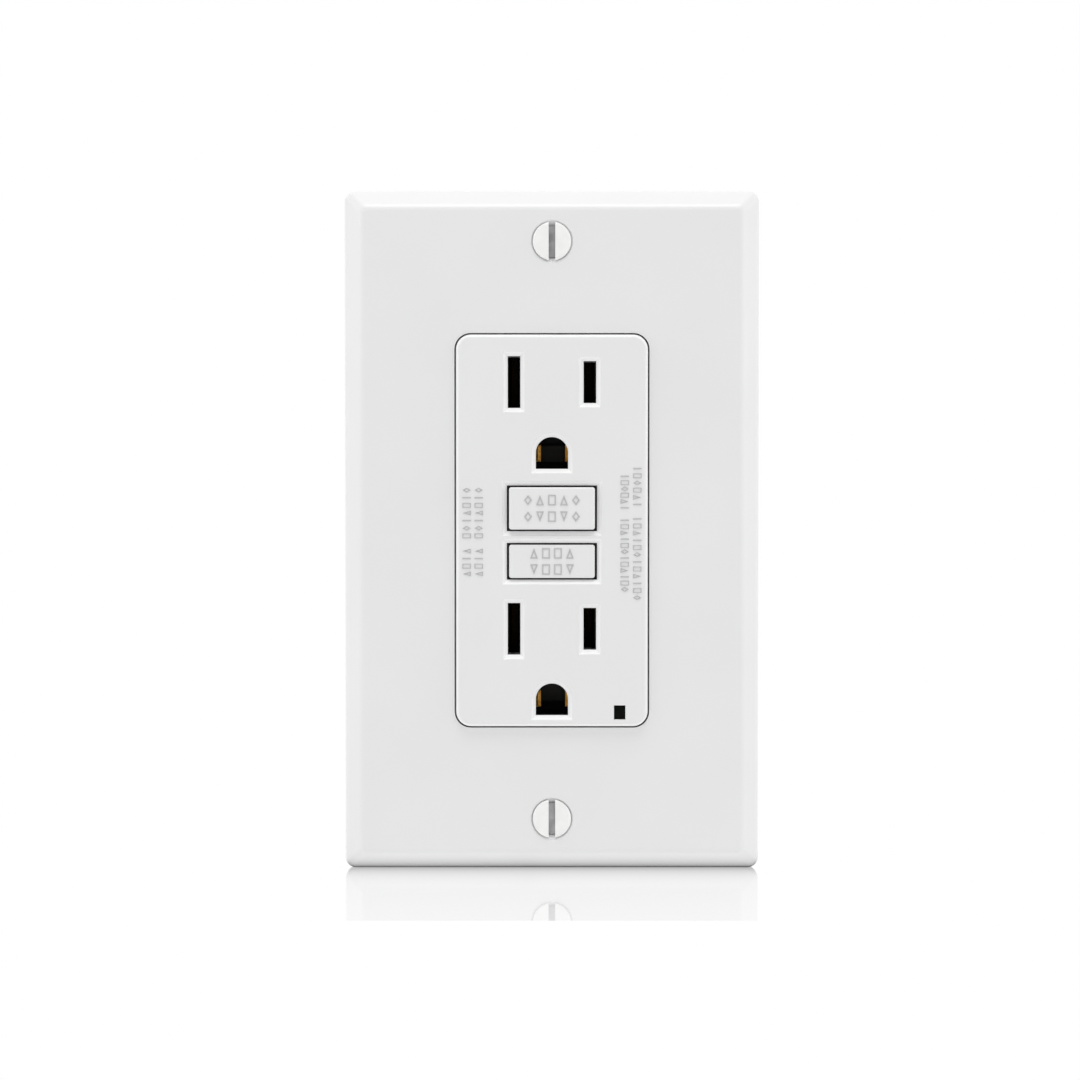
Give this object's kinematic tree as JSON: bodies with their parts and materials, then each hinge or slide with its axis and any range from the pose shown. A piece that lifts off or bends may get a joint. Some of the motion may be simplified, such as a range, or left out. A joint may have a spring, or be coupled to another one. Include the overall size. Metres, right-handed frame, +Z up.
{
  "type": "gfci outlet",
  "caption": "White duplex ground-fault receptacle with push-to-reset and push-to-test keys, a steel strap and a decorator wall plate, for a single-gang wall box.",
  "frame": {"origin": "on the wall surface, midway between the two screws that hold the strap to the wall box", "axes": "+X to the right as seen from the room, +Y into the wall, +Z up, towards the upper receptacle"},
  "size_m": [0.0698, 0.0377, 0.1142],
  "materials": {
    "plate_plastic": "smooth gloss white thermoplastic",
    "face_plastic": "smooth gloss white thermoplastic",
    "button_plastic": "smooth gloss white thermoplastic",
    "separator_plastic": "moulded, lightly grained",
    "tray_plastic": "moulded, lightly grained",
    "white_enamel": "white enamel over steel, bare in the driver slot",
    "zinc_steel": "zinc plated",
    "spring_steel": "drawn wire",
    "green_plating": "green dyed plating",
    "brass": "rolled brass",
    "nickel_plating": "nickel plated brass",
    "copper": "enamelled or bare copper",
    "inner_nylon": "natural nylon",
    "ferrite": "sintered",
    "soft_iron": "ground",
    "board_laminate": "solder resist",
    "black_epoxy": "moulded epoxy",
    "blue_epoxy": "dipped epoxy",
    "lamp_lens": "clear moulded lens"
  },
  "bodies": {
    "base": {"wall_plate": "plate_plastic", "face_cover": "face_plastic", "mid_housing": "separator_plastic", "rear_housing": "tray_plastic", "mounting_strap": "zinc_steel", "assembly_screws": "zinc_steel", "strap_rivets": "zinc_steel", "solenoid_frame": "zinc_steel", "reset_spring": "spring_steel", "test_spring": "spring_steel", "ground_contact_upper": "brass", "ground_contact_lower": "brass", "hot_contact_strip": "brass", "line_hot_plate": "brass", "load_hot_plate": "brass", "neutral_contact_strip": "nickel_plating", "line_neutral_plate": "nickel_plating", "load_neutral_plate": "nickel_plating", "hot_line_lead": "copper", "neutral_line_lead": "copper", "solenoid_coil": "copper", "sense_windings": "copper", "solenoid_bobbin": "inner_nylon", "transformer_boat": "inner_nylon", "sense_cores": "ferrite", "circuit_board": "board_laminate", "control_chip": "black_epoxy", "trip_thyristor": "black_epoxy", "board_resistors": "black_epoxy", "rectifier_diodes": "black_epoxy", "surge_varistor": "blue_epoxy", "film_capacitor": "blue_epoxy", "filter_capacitor": "blue_epoxy", "indicator_lamp": "lamp_lens", "light_pipe": "lamp_lens"},
    "upper_plate_screw": {"plate_screw_upper": "white_enamel"},
    "lower_plate_screw": {"plate_screw_lower": "white_enamel"},
    "upper_box_screw": {"box_screw_upper": "zinc_steel"},
    "lower_box_screw": {"box_screw_lower": "zinc_steel"},
    "ground_terminal_screw": {"ground_screw": "green_plating"},
    "reset": {"reset_button": "button_plastic", "reset_pin": "zinc_steel"},
    "test": {"test_button": "button_plastic"},
    "lifter": {"contact_carriage": "inner_nylon", "latch_spring": "spring_steel"},
    "latch": {"latch_plate": "zinc_steel"},
    "plunger": {"solenoid_plunger": "soft_iron"},
    "hot_arm": {"hot_contact_arm": "brass"},
    "neutral_arm": {"neutral_contact_arm": "nickel_plating"},
    "load_hot_clamp_body": {"load_hot_clamp": "brass"},
    "load_hot_screw_body": {"load_hot_screw": "brass"},
    "load_neutral_clamp_body": {"load_neutral_clamp": "nickel_plating"},
    "load_neutral_screw_body": {"load_neutral_screw": "nickel_plating"},
    "line_hot_clamp_body": {"line_hot_clamp": "brass"},
    "line_hot_screw_body": {"line_hot_screw": "brass"},
    "line_neutral_clamp_body": {"line_neutral_clamp": "nickel_plating"},
    "line_neutral_screw_body": {"line_neutral_screw": "nickel_plating"}
  },
  "joints": [
    {"name": "upper_plate_screw_turn", "type": "hinge", "parent": "base", "child": "upper_plate_screw", "pos_m": [0, 0, 0.04842], "axis": [0, -1, 0], "continuous": true},
    {"name": "upper_box_screw_turn", "type": "hinge", "parent": "base", "child": "upper_box_screw", "pos_m": [0, 0, 0.04167], "axis": [0, -1, 0], "continuous": true},
    {"name": "lower_plate_screw_turn", "type": "hinge", "parent": "base", "child": "lower_plate_screw", "pos_m": [0, 0, -0.04842], "axis": [0, -1, 0], "continuous": true},
    {"name": "lower_box_screw_turn", "type": "hinge", "parent": "base", "child": "lower_box_screw", "pos_m": [0, 0, -0.04167], "axis": [0, -1, 0], "continuous": true},
    {"name": "ground_screw_turn", "type": "hinge", "parent": "base", "child": "ground_terminal_screw", "pos_m": [-0.009, 0.0056, -0.0364], "axis": [0, 0, -1], "continuous": true},
    {"name": "reset_press", "type": "slide", "parent": "base", "child": "reset", "axis": [0, 1, 0], "range_m": [0, 0.003], "stiffness_N_per_m": 400, "springref_m": -0.004, "deforming": ["reset_spring"]},
    {"name": "test_press", "type": "slide", "parent": "base", "child": "test", "axis": [0, 1, 0], "range_m": [0, 0.0013], "stiffness_N_per_m": 600, "springref_m": -0.003, "deforming": ["test_spring"]},
    {"name": "contact_lift", "type": "slide", "parent": "base", "child": "lifter", "axis": [0, -1, 0], "range_m": [0, 0.002], "stiffness_N_per_m": 400, "springref_m": -0.003},
    {"name": "plunger_stroke", "type": "slide", "parent": "base", "child": "plunger", "axis": [0, 0, -1], "range_m": [0, 0.0016], "stiffness_N_per_m": 250, "springref_m": -0.002},
    {"name": "latch_slide", "type": "slide", "parent": "lifter", "child": "latch", "axis": [0, 0, -1], "range_m": [0, 0.0016], "deforming": ["latch_spring"]},
    {"name": "hot_arm_swing", "type": "hinge", "parent": "base", "child": "hot_arm", "pos_m": [0, 0.0167, -0.0209], "axis": [1, 0, 0], "range_deg": [0, 4.1]},
    {"name": "neutral_arm_swing", "type": "hinge", "parent": "base", "child": "neutral_arm", "pos_m": [0, 0.0167, -0.0209], "axis": [1, 0, 0], "range_deg": [0, 4.1]},
    {"name": "load_hot_clamp_travel", "type": "slide", "parent": "base", "child": "load_hot_clamp_body", "axis": [1, 0, 0], "range_m": [-0.002, 0]},
    {"name": "load_hot_screw_turn", "type": "hinge", "parent": "load_hot_clamp_body", "child": "load_hot_screw_body", "pos_m": [0.0191, 0.014, 0.014], "axis": [1, 0, 0], "range_deg": [-906.8, 0]},
    {"name": "load_neutral_clamp_travel", "type": "slide", "parent": "base", "child": "load_neutral_clamp_body", "axis": [-1, 0, 0], "range_m": [-0.002, 0]},
    {"name": "load_neutral_screw_turn", "type": "hinge", "parent": "load_neutral_clamp_body", "child": "load_neutral_screw_body", "pos_m": [-0.0191, 0.014, 0.014], "axis": [-1, 0, 0], "range_deg": [-906.8, 0]},
    {"name": "line_hot_clamp_travel", "type": "slide", "parent": "base", "child": "line_hot_clamp_body", "axis": [1, 0, 0], "range_m": [-0.002, 0]},
    {"name": "line_hot_screw_turn", "type": "hinge", "parent": "line_hot_clamp_body", "child": "line_hot_screw_body", "pos_m": [0.0191, 0.014, -0.014], "axis": [1, 0, 0], "range_deg": [-906.8, 0]},
    {"name": "line_neutral_clamp_travel", "type": "slide", "parent": "base", "child": "line_neutral_clamp_body", "axis": [-1, 0, 0], "range_m": [-0.002, 0]},
    {"name": "line_neutral_screw_turn", "type": "hinge", "parent": "line_neutral_clamp_body", "child": "line_neutral_screw_body", "pos_m": [-0.0191, 0.014, -0.014], "axis": [-1, 0, 0], "range_deg": [-906.8, 0]}
  ],
  "couplings": [
    {"joint": "latch_slide", "follows": "plunger_stroke", "ratio": 1},
    {"joint": "hot_arm_swing", "follows": "contact_lift", "rad_per_m": 35.776},
    {"joint": "neutral_arm_swing", "follows": "contact_lift", "rad_per_m": 35.776},
    {"joint": "load_hot_screw_turn", "follows": "load_hot_clamp_travel", "rad_per_m": 7912.5},
    {"joint": "load_neutral_screw_turn", "follows": "load_neutral_clamp_travel", "rad_per_m": 7912.5},
    {"joint": "line_hot_screw_turn", "follows": "line_hot_clamp_travel", "rad_per_m": 7912.5},
    {"joint": "line_neutral_screw_turn", "follows": "line_neutral_clamp_travel", "rad_per_m": 7912.5}
  ]
}
